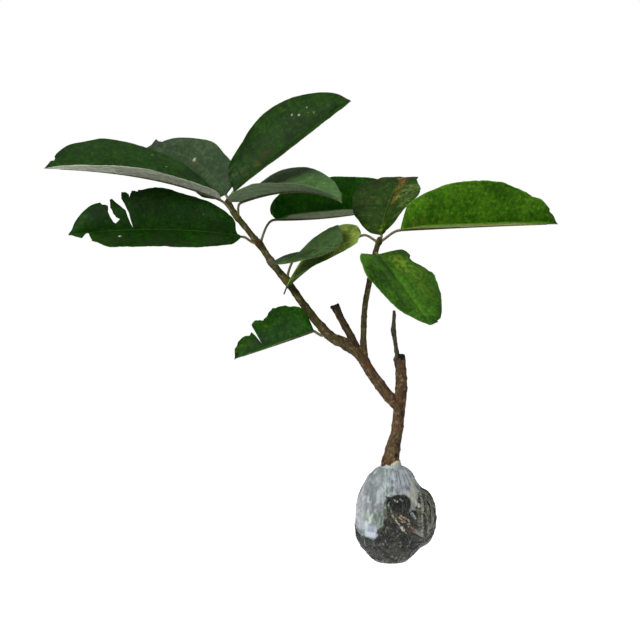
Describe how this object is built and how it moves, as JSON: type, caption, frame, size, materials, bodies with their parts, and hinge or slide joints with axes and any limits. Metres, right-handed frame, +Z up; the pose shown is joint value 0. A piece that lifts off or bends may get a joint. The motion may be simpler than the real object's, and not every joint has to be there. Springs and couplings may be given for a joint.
{
  "type": "air-layered sapling with film-wrapped root ball",
  "caption": "Cut young tree with a film-wrapped root ball at its foot, a short forked stem with a dead twig and a cut stub, and large glossy leaves held out to both sides.",
  "frame": {"origin": "on the flat underside of the root ball, below the foot of the trunk", "axes": "+Z up along the stem, +X along the crown towards its shorter right side, -Y towards the front of the plant"},
  "size_m": [0.5624, 0.2286, 0.5187],
  "materials": {
    "bark": "matt grey-brown bark with lighter lenticels",
    "dead_bark": "matt dark dry bark",
    "leaf": "glossy dark green upper face, pale matt underside",
    "young_leaf": "glossy yellow-green upper face, pale matt underside",
    "wrapped_ball": "dark damp fibre under clear creased film",
    "film": "milky gathered film"
  },
  "bodies": {
    "root": {"root_ball": "wrapped_ball", "film_collar": "film", "trunk": "bark", "main_bough": "bark", "side_bough": "bark", "cut_stub": "dead_bark", "dead_twig": "dead_bark", "leaf_top_back": "leaf", "leaf_top_right": "leaf", "leaf_upper_left": "leaf", "leaf_upper_front": "leaf", "leaf_middle_left": "leaf", "leaf_middle_right": "leaf", "leaf_lower_front": "leaf", "leaf_lowest_left": "leaf", "leaf_side_top": "leaf", "leaf_side_left": "leaf", "leaf_side_right": "young_leaf", "leaf_side_hanging": "young_leaf"}
  },
  "joints": []
}
